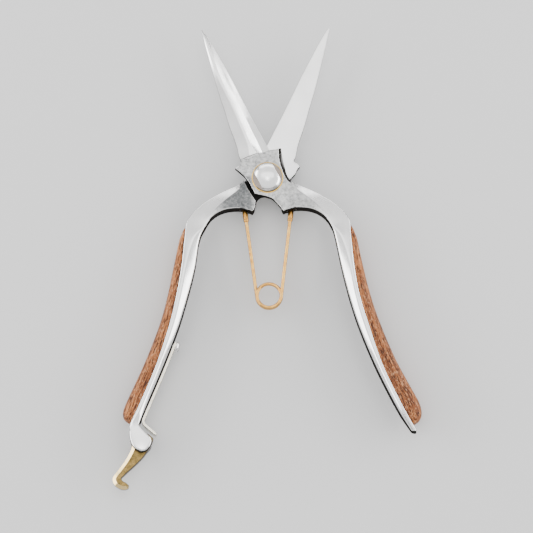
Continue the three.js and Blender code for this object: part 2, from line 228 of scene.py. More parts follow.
def tube(name, path, radius):
    """A round wire along a path, with flat ends."""
    sides = 20
    points = [Vector(point) for point in path]
    tangents = []
    for index in range(len(points)):
        ahead, behind = points[min(index + 1, len(points) - 1)], points[max(index - 1, 0)]
        tangents.append((ahead - behind).normalized())
    across = tangents[0].cross(Vector((0, 0, 1))).normalized()
    rings = []
    for point, tangent in zip(points, tangents):
        across = (across - tangent * across.dot(tangent)).normalized()
        up = tangent.cross(across)
        ring = []
        for k in range(sides):
            angle = 2 * math.pi * k / sides
            ring.append(point + (across * math.cos(angle) + up * math.sin(angle)) * radius)
        rings.append(ring)
    return loft(name, rings)


def boolean(piece, other, operation):
    """Joins or cuts exactly and drops the other piece."""
    modifier = piece.modifiers.new("cut", "BOOLEAN")
    modifier.operation = operation
    modifier.solver = "EXACT"
    modifier.object = other
    graph = bpy.context.evaluated_depsgraph_get()
    result = bpy.data.meshes.new_from_object(piece.evaluated_get(graph))
    piece.modifiers.clear()
    if len(result.polygons) < len(piece.data.polygons) / 2:
        raise RuntimeError(f"{operation} with {other.name} failed")
    old = piece.data
    piece.data = result
    bpy.data.meshes.remove(old)
    bpy.data.objects.remove(other)


def place(piece, matrix, crease=35, blade_crease=None):
    """Moves a piece from its own millimetre frame into the row frame and smooths its shading.

    Edges sharper than crease stay sharp, and those sharper than blade_crease on the blade.
    """
    piece.data.transform(Matrix.Scale(MM, 4) @ matrix)
    piece.data.update()
    for polygon in piece.data.polygons:
        polygon.use_smooth = True
    piece.data.set_sharp_from_angle(angle=math.radians(crease))
    if blade_crease:
        shape = bmesh.new()
        shape.from_mesh(piece.data)
        for edge in shape.edges:
            on_blade = min(vertex.co.y for vertex in edge.verts) > BLADE_START * MM
            if on_blade and edge.calc_face_angle(0) > math.radians(blade_crease):
                edge.smooth = False
        shape.to_mesh(piece.data)
        shape.free()
    return piece


def show(piece, material, body, slot, *replaced):
    piece.data.materials.clear()
    piece.data.materials.append(material)
    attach(piece, body)
    if replaced:
        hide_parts(*replaced)


# ---------------------------------------------------------------- materials


class Nodes:
    """Short way to build a material's nodes."""

    def __init__(self, name):
        self.material = bpy.data.materials.new(name)
        self.material.use_nodes = True
        self.tree = self.material.node_tree
        self.shader = self.tree.nodes["Principled BSDF"]
        coordinates = self.tree.nodes.new("ShaderNodeTexCoord")
        self.place = coordinates.outputs["Object"]
        self.normal = coordinates.outputs["Normal"]

    def feed(self, socket, value):
        if isinstance(value, bpy.types.NodeSocket):
            self.tree.links.new(value, socket)
        else:
            socket.default_value = value

    def scaled(self, vector, scale):
        node = self.tree.nodes.new("ShaderNodeMapping")
        self.feed(node.inputs["Vector"], vector)
        node.inputs["Scale"].default_value = scale
        return node.outputs["Vector"]

    def noise(self, vector, scale, detail, roughness=0.55, distortion=0.0):
        node = self.tree.nodes.new("ShaderNodeTexNoise")
        self.feed(node.inputs["Vector"], vector)
        node.inputs["Scale"].default_value = scale
        node.inputs["Detail"].default_value = detail
        node.inputs["Roughness"].default_value = roughness
        node.inputs["Distortion"].default_value = distortion
        return node.outputs["Fac"]

    def ramp(self, value, *stops):
        node = self.tree.nodes.new("ShaderNodeValToRGB")
        self.feed(node.inputs["Fac"], value)
        elements = node.color_ramp.elements
        while len(elements) < len(stops):
            elements.new(0.5)
        for element, (position, colour) in zip(elements, stops):
            element.position = position
            element.color = (*colour, 1)
        return node.outputs["Color"]

    def mix(self, factor, first, second):
        node = self.tree.nodes.new("ShaderNodeMix")
        node.data_type = "RGBA"
        self.feed(node.inputs[0], factor)
        self.feed(node.inputs[6], first)
        self.feed(node.inputs[7], second)
        return node.outputs[2]

    def math(self, operation, first, second=0.0, third=0.0):
        node = self.tree.nodes.new("ShaderNodeMath")
        node.operation = operation
        self.feed(node.inputs[0], first)
        self.feed(node.inputs[1], second)
        self.feed(node.inputs[2], third)
        return node.outputs[0]

    def product(self, first, second):
        return self.math("MULTIPLY", first, second)

    def largest(self, first, second):
        return self.math("MAXIMUM", first, second)

    def magnitude(self, value):
        return self.math("ABSOLUTE", value)

    def span(self, value, low, high, out_low=0.0, out_high=1.0):
        """Eases from one output to the other while the value goes from low to high."""
        node = self.tree.nodes.new("ShaderNodeMapRange")
        node.interpolation_type = "SMOOTHSTEP"
        self.feed(node.inputs["Value"], value)
        node.inputs["From Min"].default_value = low
        node.inputs["From Max"].default_value = high
        node.inputs["To Min"].default_value = out_low
        node.inputs["To Max"].default_value = out_high
        return node.outputs["Result"]

    def split(self, vector):
        node = self.tree.nodes.new("ShaderNodeSeparateXYZ")
        self.feed(node.inputs[0], vector)
        return node.outputs

    def distance(self, vector, point):
        node = self.tree.nodes.new("ShaderNodeVectorMath")
        node.operation = "DISTANCE"
        self.feed(node.inputs[0], vector)
        node.inputs[1].default_value = point
        return node.outputs["Value"]

    def attribute(self, name):
        node = self.tree.nodes.new("ShaderNodeAttribute")
        node.attribute_name = name
        return node.outputs["Vector"]

    def bump(self, height, distance, strength, normal=None):
        node = self.tree.nodes.new("ShaderNodeBump")
        self.feed(node.inputs["Height"], height)
        node.inputs["Distance"].default_value = distance
        node.inputs["Strength"].default_value = strength
        if normal:
            self.feed(node.inputs["Normal"], normal)
        return node.outputs["Normal"]

    def finish(self, colour, metallic, roughness, normal=None):
        self.feed(self.shader.inputs["Base Color"], colour)
        self.shader.inputs["Metallic"].default_value = metallic
        self.feed(self.shader.inputs["Roughness"], roughness)
        if normal:
            self.feed(self.shader.inputs["Normal"], normal)
        return self.material


def grey(value):
    return (value, value, value, 1)


# The two edges that end a pivot plate towards its blade: unit normals, and distances from the
# pivot in metres.
BROW_NORMAL, BROW_REACH = (-0.183, 0.983), 0.0111
EAR_NORMAL, EAR_REACH = (-0.338, 0.941), 0.01126
# Painted shade for the shoulders.
PAINTED_SHADE_COLOUR = (0.08, 0.084, 0.086, 1)
# Painted shade: a thin dark line along the step where the plate ends.
PAINTED_BROW_SHADE_COLOUR = (0.1, 0.095, 0.09, 1)
# Painted shade for side walls and the recessed face between the shoulders.
PAINTED_WALL_SHADE_COLOUR = (0.018, 0.017, 0.016, 1)
# Painted shade for the nut's flange, next to the plate.
PAINTED_FLANGE_SHADE_COLOUR = (0.2, 0.17, 0.15, 1)


def past_edge(n, x, y, normal, reach):
    """How far a point lies past a straight edge."""
    along = n.math("MULTIPLY_ADD", x, normal[0], n.product(y, normal[1]))
    return n.math("SUBTRACT", along, reach)


def forged_zone_edge_highlight(n, x, y, level, plate):
    """Where the hammered surface was left: the plate and the flat tops of the shoulders. Off the flat
    faces it gives way to bright steel, a painted highlight along the rounded edges.
    """
    from_pivot = n.distance(n.place, (0, -0.004, ARM_MIDDLE * MM))
    zone = n.largest(plate, n.span(y, -0.002, 0.003, 1, 0))
    zone = n.product(n.span(from_pivot, 0.018, 0.031, 1, 0), zone)
    off_axis = n.magnitude(x)
    # Painted highlight: the mask fades where faces tilt, so rounded edges are painted bright. The joint
    # of plate and shoulder stays mottled.
    joint = n.product(n.span(off_axis, 0.009, 0.0095), n.span(off_axis, 0.011, 0.0118, 1, 0))
    flat = n.largest(joint, n.span(level, 0.955, 0.985, 0.15, 1))
    return n.product(flat, zone)


def painted_shoulder_shade(n, x, y, mottle):
    """Painted shade: the left shoulder is painted much darker than the right one."""
    left = n.product(n.span(x, -0.029, -0.016, 0, 0.9), n.span(x, -0.008, -0.0045, 1, 0))
    left = n.product(left, n.span(y, -0.001, 0.002, 1, 0))
    right = n.product(n.span(x, 0.006, 0.012, 0, 0.3), n.span(y, -0.012, -0.006, 1, 0))
    return n.product(n.largest(left, right), n.span(mottle, 0.3, 0.7, 1.15, 0.75))


def arm_steel(name, side):
    """Forged and hand-polished steel: bright on the blade and strap, mottled round the pivot.

    Side walls and the recessed face between the shoulders get painted shade: near black, dull and
    not metallic. The shoulders and a thin line where the plate ends get painted shade too, and the
    rounded edges a painted highlight. side is 1 for the front arm and -1 for the rear arm, which is
    turned over.
    """
    n = Nodes(name)
    x, y, z = n.split(n.place)
    facing = n.split(n.normal)[2]
    level = n.magnitude(facing)
    outer = n.span(n.product(facing, side), 0.1, 0.3)
    own_x = n.product(x, side)
    past_brow = past_edge(n, own_x, y, BROW_NORMAL, BROW_REACH)
    past_plate = n.largest(past_brow, past_edge(n, own_x, y, EAR_NORMAL, EAR_REACH))
    plate = n.product(outer, n.span(past_plate, -0.0001, 0.0002, 1, 0))
    forged = forged_zone_edge_highlight(n, x, y, level, plate)

    mottle = n.noise(n.place, 900, 6, 0.7)
    streaks = n.noise(n.scaled(n.place, (900, 60, 900)), 1, 3, 0.6)
    cloud = n.noise(n.place, 120, 3, 0.5)
    bright = n.ramp(cloud, (0.3, (0.75, 0.745, 0.74)), (0.7, (0.86, 0.855, 0.845)))
    dull = n.ramp(
        mottle,
        (0.3, (0.15, 0.15, 0.15)),
        (0.5, (0.37, 0.37, 0.365)),
        (0.7, (0.56, 0.555, 0.55)),
    )
    # Mottled where hammered, bright elsewhere. The bright rounded edges are a painted highlight.
    colour = n.mix(forged, bright, dull)
    # Painted shade: the shoulders are painted darker, the left one most.
    colour = n.mix(n.product(painted_shoulder_shade(n, x, y, mottle), forged), colour, PAINTED_SHADE_COLOUR)
    # Painted shade: a thin dark line along the step where the plate ends towards its blade.
    painted_brow_shade = n.product(outer, n.span(n.magnitude(past_plate), 0.00008, 0.00025, 0.85, 0))
    colour = n.mix(painted_brow_shade, colour, PAINTED_BROW_SHADE_COLOUR)

    # Painted shade: side walls and the recessed face between the shoulders are painted near black, dull
    # and not metallic, standing in for their dark reflections and shadow. scale is this mask.
    wall = n.span(level, 0.35, 0.55, 1, 0)
    depth = n.magnitude(n.math("SUBTRACT", z, ARM_MIDDLE * MM))
    sunk_face_shade = n.product(n.span(depth, 0.0006, 0.001, 1, 0), n.span(y, -0.001, 0.0004, 1, 0))
    scale = n.largest(wall, sunk_face_shade)
    colour = n.mix(scale, colour, PAINTED_WALL_SHADE_COLOUR)
    rough = n.span(streaks, 0.3, 0.7, 0.17, 0.25)
    rough = n.math("ADD", rough, n.product(forged, 0.12))
    rough = n.math("ADD", rough, n.product(scale, 0.3))
    normal = n.bump(streaks, 0.00001, 0.15)
    normal = n.bump(n.product(mottle, forged), 0.00008, 0.35, normal)
    material = n.finish(colour, 1.0, rough, normal)
    # Painted shade: the walls lose their metal and reflection, so they stay dark.
    n.feed(n.shader.inputs["Metallic"], n.math("SUBTRACT", 1.0, scale))
    n.shader.inputs["Specular IOR Level"].default_value = 0.0
    return material


def polished_steel(name, low, high, rough_low, rough_high, shaded_below=None):
    """Smooth steel with a faint smear, with painted shade below a height if one is given."""
    n = Nodes(name)
    smear = n.noise(n.place, 300, 3, 0.5)
    colour = n.ramp(smear, (0.3, low), (0.7, high))
    if shaded_below:
        # Painted shade: below that height, on the flange, the steel is painted darker.
        dull = n.span(n.split(n.place)[2], shaded_below - 0.0001, shaded_below, 1, 0)
        colour = n.mix(dull, colour, PAINTED_FLANGE_SHADE_COLOUR)
    rough = n.span(smear, 0.3, 0.7, rough_low, rough_high)
    return n.finish(colour, 1.0, rough, n.bump(n.noise(n.place, 1500, 2), 0.00001, 0.2))


def brass(name, light, dark, rough_low, rough_high, fleck, edge_highlight_wall_shade=False):
    """Brass with a cloudy patina. If asked, chamfers get a painted highlight and side walls painted
    shade.
    """
    n = Nodes(name)
    cloud = n.noise(n.place, 450, 5, 0.65)
    specks = n.noise(n.place, 1900, 4, 0.65)
    colour = n.ramp(cloud, (0.35, dark), (0.65, light))
    shade = n.span(specks, 0.5, 0.65, 0, fleck)
    colour = n.mix(shade, colour, tuple(value * 0.4 for value in dark) + (1,))
    rough = n.span(cloud, 0.3, 0.7, rough_low, rough_high)
    if edge_highlight_wall_shade:
        # Painted highlight on the chamfers and painted shade on the side walls, by how steeply each
        # face tilts.
        lean = n.magnitude(n.split(n.normal)[2])
        chamfer = n.span(lean, 0.85, 0.96, 1, 0)
        colour = n.mix(chamfer, colour, (0.66, 0.5, 0.24, 1))
        rough = n.product(rough, n.math("SUBTRACT", 1.0, n.product(chamfer, 0.4)))
        colour = n.mix(n.span(lean, 0.3, 0.5, 1, 0), colour, (0.03, 0.018, 0.008, 1))
    return n.finish(colour, 1.0, rough, n.bump(specks, 0.00003, 0.35))


def walnut():
    """Oiled walnut with short dark pores along the grain."""
    n = Nodes("walnut")
    grain = n.attribute("grain")
    bands = n.noise(n.scaled(grain, (22, 420, 420)), 1, 4, 0.6, 0.8)
    fine = n.noise(n.scaled(grain, (140, 2600, 2600)), 1, 3, 0.6)
    pores = n.noise(n.scaled(grain, (330, 1700, 1700)), 1, 3, 0.6)
    pores = n.span(pores, 0.52, 0.6)
    rays = n.noise(n.scaled(grain, (700, 1500, 1500)), 1, 4, 0.7)
    colour = n.ramp(
        bands,
        (0.3, (0.06, 0.018, 0.007)),
        (0.43, (0.18, 0.055, 0.018)),
        (0.55, (0.34, 0.12, 0.038)),
        (0.7, (0.5, 0.2, 0.072)),
    )
    colour = n.mix(n.span(fine, 0.35, 0.7, 0, 0.5), colour, (0.09, 0.026, 0.009, 1))
    colour = n.mix(n.span(rays, 0.5, 0.66, 0, 0.5), colour, (0.62, 0.33, 0.17, 1))
    colour = n.mix(n.product(pores, 0.85), colour, (0.018, 0.005, 0.002, 1))
    rough = n.span(bands, 0.3, 0.7, 0.45, 0.6)
    height = n.math("SUBTRACT", n.product(fine, 0.3), pores)
    n.shader.inputs["Specular IOR Level"].default_value = 0.15
    return n.finish(colour, 0.0, rough, n.bump(height, 0.00015, 0.6))


FRONT_STEEL = arm_steel("front_arm_steel", 1)
REAR_STEEL = arm_steel("rear_arm_steel", -1)
POLISHED = polished_steel("polished_steel", (0.68, 0.675, 0.67), (0.78, 0.775, 0.77), 0.1, 0.2)
# The nut gets painted shade on its flange.
NUT_STEEL = polished_steel(
    "nut_steel", (0.84, 0.835, 0.83), (0.93, 0.925, 0.92), 0.18, 0.28, (ARM_MIDDLE + 5.5) * MM
)
BRASS = brass("brass", (0.62, 0.33, 0.08), (0.4, 0.18, 0.035), 0.18, 0.34, 0.25)
RING_BRASS = brass("ring_brass", (0.72, 0.5, 0.15), (0.55, 0.34, 0.08), 0.18, 0.34, 0.25)
# The hook gets a painted highlight on its chamfers and painted shade on its side walls.
AGED_BRASS = brass("aged_brass", (0.3, 0.2, 0.066), (0.11, 0.075, 0.024), 0.22, 0.4, 0.7, True)
WIRE_BRASS = brass("wire_brass", (0.76, 0.44, 0.13), (0.56, 0.28, 0.065), 0.15, 0.25, 0.1)
LEAF_BRASS = brass("leaf_brass", (0.8, 0.77, 0.68), (0.68, 0.63, 0.52), 0.16, 0.28, 0.1)
WALNUT = walnut()

# ---------------------------------------------------------------- arms

# Blade across its length: y, then x of the spine, facet line, ridge, bevel line and edge, then
# the heights of the spine wall, the ridge and the bevel line.
BLADE = [
    (6, -9.2, -7.3, -2.6, -0.6, 3.6, 2.4, 3.5, 1.3),
    (9, -11.3, -7.25, -3.4, -1.2, 2.7, 2.4, 3.55, 1.3),
    (14.5, -12.6, -8.1, -6.6, -3.4, -0.15, 2.4, 3.6, 1.3),
    (22, -15.2, -10.9, -9.9, -6.9, -4.1, 2.25, 3.5, 1.2),
    (29, -17.25, -13.6, -12.9, -9.9, -7.7, 2.15, 3.3, 1.1),
    (36, -19.4, -16.8, -15.9, -12.9, -11.2, 2, 2.9, 0.95),
    (43, -21.3, -20, -18.7, -15.9, -14.6, 1.8, 2.45, 0.8),
    (50, -23.1, -22.4, -21.2, -19.4, -18.3, 1.55, 2, 0.65),
    (56, -24.6, -24.2, -23.5, -22.3, -21.55, 1.3, 1.6, 0.5),
    (60, -25.5, -25.3, -24.9, -24.4, -23.8, 1.1, 1.3, 0.4),
    (62.9, -26.25, -26.2, -26.1, -25.9, -25.7, 0.85, 0.9, 0.3),
    (63.3, -26.33, -26.3, -26.25, -26.15, -26.05, 0.7, 0.75, 0.25),
]
BLADE_RINGS = 8
# The face between ridge and bevel line is hollowed by this much where it is this deep.
BLADE_HOLLOW, HOLLOW_DEPTH = 0.1, 2.6
HOLLOW_STEPS = 9
EDGE_FLAT = 0.04


def blade():
    rings = []
    for step in range((len(BLADE) - 1) * BLADE_RINGS + 1):
        y, spine, facet, ridge, bevel, edge, wall, top, low = blend_value(BLADE, step / BLADE_RINGS)
        low += SHEAR_GAP
        ring = [(spine, y, SHEAR_GAP), (spine, y, wall), (facet, y, top), (ridge, y, top)]
        for k in range(1, HOLLOW_STEPS):
            share = k / HOLLOW_STEPS
            sag = 4 * share * (1 - share) * BLADE_HOLLOW * (top - low) / HOLLOW_DEPTH
            x = ridge + (bevel - ridge) * share
            ring.append((x, y, top + (low - top) * share - sag))
        ring += [(bevel, y, low), (edge, y, SHEAR_GAP + EDGE_FLAT), (edge, y, SHEAR_GAP)]
        rings.append(ring)
    return loft("blade", rings)


EAR_FRONT = [(-3.8, 10.6), (-7.3, 8.5), (-11.05, 8)]
EAR_REAR = [(-3.8, 10.6), (-7.3, 9.7), (-10.55, 9.2)]
WAIST_FRONT = [(-11.05, 8), (-10.75, 6.7), (-11.6, 5.3), (-13.2, 4.2)]
WAIST_REAR = [(-10.55, 9.2), (-11, 7.5), (-12.45, 6.6), (-13.25, 5.35)]
CHEST_FRONT = [(-13.2, 4.2), (-9.6, 1), (-8, -1.1), (-6.6, -3.6), (-5.2, -6.6)]
CHEST_REAR = [
    (-13.25, 5.35),
    (-12.1, 4.1),
    (-11.35, 2.5),
    (-9.9, 0.8),
    (-7.5, -2),
    (-5.6, -5),
    (-4.5, -6.45),
]
LOBE_FRONT = [
    (-5.2, -6.6),
    (-2.4, -7.2),
    (0.1, -7.9),
    (1.9, -8.7),
    (3.5, -10.2),
    (5.1, -12.2),
    (6.4, -14),
]
LOBE_REAR = [
    (-4.5, -6.45),
    (-2, -6.5),
    (1, -6.55),
    (2.6, -6.8),
    (3.9, -7.6),
    (4.8, -8.9),
    (5.08, -10.3),
    (5.36, -11.8),
    (5.75, -13.2),
    (6.4, -14),
]
HEEL = [(6.4, -14), (7.4, -13.45), (8.4, -13.1)]
# The plate's flank slopes outwards from its top face down: it has a foot and a crown.
FLANK_FOOT = [
    (9.9, -1.2),
    (9.3, -0.4),
    (8.1, 1.65),
    (7.25, 4.6),
    (6.5, 8.05),
    (6, 10.8),
    (5.7, 13.2),
]
FLANK_CROWN = [
    (9.7, -2.2),
    (8.6, -1.6),
    (7.2, 0.35),
    (6.25, 2.75),
    (5.3, 5.7),
    (4.75, 8.7),
    (4.7, 12.2),
]
BROW_FOOT = [(5.7, 13.2), (3.9, 12.4), (1.2, 11.9), (-1.3, 11.1), (-3.8, 10.6)]
BROW_CROWN = [(4.7, 12.2), (3.4, 11.9), (1.1, 11.6), (-1.3, 10.9), (-3.8, 10.6)]


def plate_body(ear, waist, chest, lobe):
    """The flat plate round the pivot, ending inside the shoulder.

    The points of flank and brow next to the corner between them are left out, so that the
    rounded edge can't fold over itself there.
    """
    layers = []
    for flank, brow in ((FLANK_FOOT, BROW_FOOT), (FLANK_CROWN, BROW_CROWN)):
        flank, brow = curve(flank, 6, 0), curve(brow, 6, 0)
        runs = [brow[:1] + brow[4:], ear, curve(waist), curve(chest), curve(lobe), curve(HEEL)]
        inside = [(10.9, -10), (10.9, -5)]
        layers.append(outline(*runs, inside, flank[:-4] + flank[-1:]))
    return slab("plate", layers[0], SHEAR_GAP + STEP, PLATE_TOP, 0.2, layers[1])


# The shoulder is twice as thick as the plate. This block carries it on under the plate's edge.
BLOCK = outline(
    curve([(9.8, -0.9), (8.1, -4.7), (6.3, -7.6), (5.1, -9.5)]),
    curve([(5.1, -9.5), (5.4, -11.7), (5.8, -13.1), (6.45, -13.93)]),
    curve([(6.45, -13.93), (7.4, -13.42), (8.4, -13.05)]),
    [(10.8, -10), (10.8, -5), (10.3, -2)],
)
SHOULDER_FINGER = [(7.6, -13.4), (12, -12.5), (18, -13.2), (22.9, -16), (26, -20.5)]
SHOULDER_OUTER = [(9.9, -1.55), (12.5, -2.6), (20.4, -6.2), (27.7, -10.9), (33.1, -17.2)]
# Share of the thickness to the ridge, then half widths at the finger side, ridge and outer side.
SHOULDER_SHAPE = [
    (1, 3.96, 3.96, 3.96),
    (0.76, 3.97, 3.97, 2.4),
    (0.41, 4, 4, 2),
    (0.12, 4, 4, 2.2),
    (0.04, 3.9, 4.1, 3),
]
GRIP_SHAPE = [
    (0.42, 3.6, 4.9, 4.2),
    (0.7, 3.5, 5.9, 5.3),
    (0.66, 3.9, 6.3, 5.9),
    (0.6, 4.2, 6.4, 6.1),
    (0.58, 4.2, 6.3, 6.1),
    (0.56, 3.8, 5.5, 5.35),
]
RIGHT_FINGER = [
    (27.5, -26),
    (29.9, -38.3),
    (32.9, -50.9),
    (36.8, -63.5),
    (43.5, -80.4),
    (51.7, -97.3),
    (57.2, -106.3),
]
RIGHT_OUTER = [
    (34, -25),
    (35.1, -37),
    (37.1, -49.6),
    (40.6, -62.1),
    (46.1, -79.2),
    (53.8, -95.9),
    (59.4, -106.3),
]
LEFT_FINGER = [
    (28.3, -26),
    (30.3, -37.8),
    (33.5, -50),
    (37.4, -62.5),
    (43.9, -79),
    (51.2, -95.8),
    (54.2, -103),
    (55.2, -106.3),
]
LEFT_OUTER = [
    (34.4, -25),
    (35.8, -36.5),
    (38, -48.7),
    (41, -61),
    (46.6, -77.8),
    (53.9, -94.6),
    (57.6, -102.6),
    (57.2, -106),
]
# Depth of each scale along the strap: station, then how far the wood stands out from the strap.
RIGHT_SCALE = [
    (4.36, 0.05),
    (4.6, 1.0),
    (5, 2.2),
    (6, 3.5),
    (7, 4.4),
    (8, 4.8),
    (9, 6.1),
    (10, 7),
    (10.7, 6.9),
]
LEFT_SCALE = [
    (4.36, 0.05),
    (4.6, 0.95),
    (5, 2),
    (6, 3.15),
    (7, 3.6),
    (8, 4),
    (9, 4.9),
    (10, 5.4),
    (10.7, 5.4),
]
RIGHT_STRAP = {
    "finger": SHOULDER_FINGER + RIGHT_FINGER,
    "outer": SHOULDER_OUTER + RIGHT_OUTER,
    "shape": SHOULDER_SHAPE + GRIP_SHAPE + [(0.56, 2.4, 3.5, 3.3)],
    "scale": RIGHT_SCALE,
    "scale_end": 10.62,
}
# The left strap's last two stations run into the fork's cheeks.
LEFT_STRAP = {
    "finger": SHOULDER_FINGER + LEFT_FINGER,
    "outer": SHOULDER_OUTER + LEFT_OUTER,
    "shape": SHOULDER_SHAPE + GRIP_SHAPE + [(0.86, 4.7, 4.9, 4.9), (0.86, 4.8, 4.8, 4.8)],
    "scale": LEFT_SCALE,
    "scale_end": 10.75,
}
STRAP_RINGS = 14
CORNER_CUTS = (0.9, 0.9, 0.7, 0.5, 0.5, 0.7)


def strap_at(strap, place):
    """The strap's finger and outer points, the unit vector across it and its section."""
    finger = Vector(blend_value(strap["finger"], place))
    outer = Vector(blend_value(strap["outer"], place))
    return finger, outer, (outer - finger).normalized(), blend_value(strap["shape"], place)


def strap_ring(strap, place, shrink=0.0):
    """The strap's six-cornered section at a station."""
    finger, outer, across, (ridge, finger_half, ridge_half, outer_half) = strap_at(strap, place)
    width = (outer - finger).length - 2 * shrink
    ridge = min(ridge, 0.985)
    corners = [
        (0, finger_half - shrink),
        (0, shrink - finger_half),
        (ridge * width, shrink - ridge_half),
        (width, shrink - outer_half),
        (width, outer_half - shrink),
        (ridge * width, ridge_half - shrink),
    ]
    # The corners grow softer over the first four stations.
    soft = min(1, place / 4)
    cuts = [0.25 + (cut - 0.25) * soft for cut in CORNER_CUTS]
    start = finger + across * shrink
    return [(*(start + across * p.x), p.y) for p in rounded(corners, cuts)]


def strap_body(strap):
    """The whole strap, with three rings that close up round its end."""
    last = len(strap["finger"]) - 1
    rings = [strap_ring(strap, step / STRAP_RINGS) for step in range(last * STRAP_RINGS + 1)]
    before_last = Vector(blend_value(strap["finger"], last - 0.05))
    end = Vector(blend_value(strap["finger"], last)) - before_last
    end = Vector((*end.normalized(), 0))
    for forward, shrink in ((0.15, 0.06), (0.28, 0.2), (0.34, 0.4)):
        ring = strap_ring(strap, last, shrink)
        rings.append([tuple(Vector(point) + end * forward) for point in ring])
    return loft("strap", rings)


LEG_SOCKET = (9.7, -11.5)
LEG_SLANT = 7.15
POCKET_HALF = 1.5
POCKET_REACH = 7
# How far the leg can swing in its pocket, in degrees, inwards and outwards.
SWING_IN, SWING_OUT = 6, 33


def leg_pocket():
    """The pocket that lets a spring leg swing in its shoulder."""
    socket = Vector(LEG_SOCKET)
    sides = []
    for swing, offset in ((-SWING_IN, -POCKET_HALF), (SWING_OUT, POCKET_HALF)):
        angle = math.radians(-LEG_SLANT + swing)
        along = Vector((math.sin(angle), -math.cos(angle)))
        top = socket + Vector((-along.y, along.x)) * offset
        sides.append((tuple(top), tuple(top + along * POCKET_REACH)))
    (left_top, left_end), (right_top, right_end) = sides
    x, y = LEG_SOCKET
    points = [left_top, left_end, right_end, right_top]
    points += [(x + 0.8, y + POCKET_HALF), (x - 0.8, y + POCKET_HALF)]
    return slab("pocket", points, -POCKET_HALF, POCKET_HALF, 0.1)


def arm(name, strap, plate):
    """One forging, from the blade tip to the end of the strap."""
    piece = strap_body(strap)
    boolean(piece, slab("block", BLOCK, -PLATE_TOP + STEP, PLATE_TOP / 2, 0.15), "UNION")
    boolean(piece, plate, "UNION")
    boolean(piece, blade(), "UNION")
    bore = outline(arc(0, 0, BORE_RADIUS, 0, 360, 64))
    boolean(piece, slab("bore", bore, -9, 9, 0.05), "DIFFERENCE")
    boolean(piece, leg_pocket(), "DIFFERENCE")
    piece.name = name
    return piece


# ---------------------------------------------------------------- grip scales

SCALE_GAP = 0.05
SCALE_RINGS = 150
SCALE_SIDES = 36
# Exponent of the section's squared-off curve, and the station where the end starts to round off.
SCALE_SQUARE = 2.5
SCALE_ROUND_START = 10


def scale_depth(strap, place):
    """How far the wood stands out at a station."""
    stops = strap["scale"]
    index = max(k for k in range(len(stops) - 1) if stops[k][0] <= place)
    (low, _), (high, _) = stops[index : index + 2]
    depth = blend_value([(stop[1],) for stop in stops], index + (place - low) / (high - low))[0]
    if place > SCALE_ROUND_START:
        share = (place - SCALE_ROUND_START) / (strap["scale_end"] - SCALE_ROUND_START)
        depth *= math.sqrt(max(0.0, 1 - share**2.4))
    return max(depth, 0.02)


def grip_scale(name, strap):
    """A scale along the strap's outer side. Its rings close up towards the rounded end."""
    start, end = strap["scale"][0][0], strap["scale_end"]
    rings, grain = [], []
    travelled = 0.0
    before = None
    for step in range(SCALE_RINGS + 1):
        share = 1 - (1 - step / SCALE_RINGS) ** 1.35
        place = start + (end - start) * share
        _, outer, across, shape = strap_at(strap, place)
        depth = scale_depth(strap, place)
        half = shape[3] - 0.05
        if place > SCALE_ROUND_START:
            past = (place - SCALE_ROUND_START) / (end - SCALE_ROUND_START)
            half *= 1 - 0.35 * past**3
        travelled += (outer - before).length if before else 0
        before = outer.copy()
        ring = []
        for k in range(SCALE_SIDES + 1):
            angle = math.pi * k / SCALE_SIDES
            out = depth * math.sin(angle) ** (2 / SCALE_SQUARE) if 0 < k < SCALE_SIDES else 0
            wide = math.copysign(abs(math.cos(angle)) ** (2 / SCALE_SQUARE), math.cos(angle)) * half
            ring.append((*(outer + across * (SCALE_GAP + out)), wide))
            grain.append((travelled * MM, out * MM, wide * MM))
        rings.append(ring)
    piece = loft(name, rings)
    layer = piece.data.attributes.new("grain", "FLOAT_VECTOR", "POINT")
    layer.data.foreach_set("vector", [value for point in grain for value in point])
    return piece


# ---------------------------------------------------------------- pivot hardware

WASHER_RADIUS = 6.5
WASHER_THICKNESS = 0.45
# Where the nut and the bolt head start, just clear of the washers.
STACK_TOP = 4.5
NUT_FLANGE_TOP = STACK_TOP + 0.85
NUT_RADIUS = 5.85
NUT_DOME = 2.95
NUT_FLAT = 4.15
NUT_TURN = 26.5
BOLT_HEAD = 2
BOLT_RADIUS = 3.5


def dome(radius, base, rise, steps):
    """A profile's quarter round, from its rim nearly up to the axis."""
    angles = [math.pi / 2 * k / steps for k in range(steps)]
    return [(radius * math.cos(angle), base + rise * math.sin(angle)) for angle in angles]


def washer(name, bottom):
    top = bottom + WASHER_THICKNESS
    section = [(BORE_RADIUS, bottom), (WASHER_RADIUS, bottom), (WASHER_RADIUS, top), (BORE_RADIUS, top)]
    profile = rounded(section, [0.1, 0.18, 0.18, 0.1])
    return lathe(name, [(p.x, p.y) for p in profile])


def nut():
    """Domed nut on a low flange, with two flats for a spanner."""
    flange = [
        (6.0, STACK_TOP),
        (6.1, STACK_TOP + 0.1),
        (6.1, STACK_TOP + 0.55),
        (5.9, STACK_TOP + 0.8),
    ]
    profile = [(0, STACK_TOP)] + flange
    profile += dome(NUT_RADIUS, NUT_FLANGE_TOP, NUT_DOME, 24)
    profile.append((0, NUT_FLANGE_TOP + NUT_DOME))
    piece = lathe("pivot_nut_dome", profile)
    for side in (-1, 1):
        points = [(NUT_FLAT, -9), (9, -9), (9, 9), (NUT_FLAT, 9)]
        points = [(side * x, side * y) for x, y in points]
        cutter = slab("flat", points, NUT_FLANGE_TOP, STACK_TOP + 7, 0.1)
        cutter.data.transform(Matrix.Rotation(math.radians(NUT_TURN), 4, "Z"))
        boolean(piece, cutter, "DIFFERENCE")
    return piece


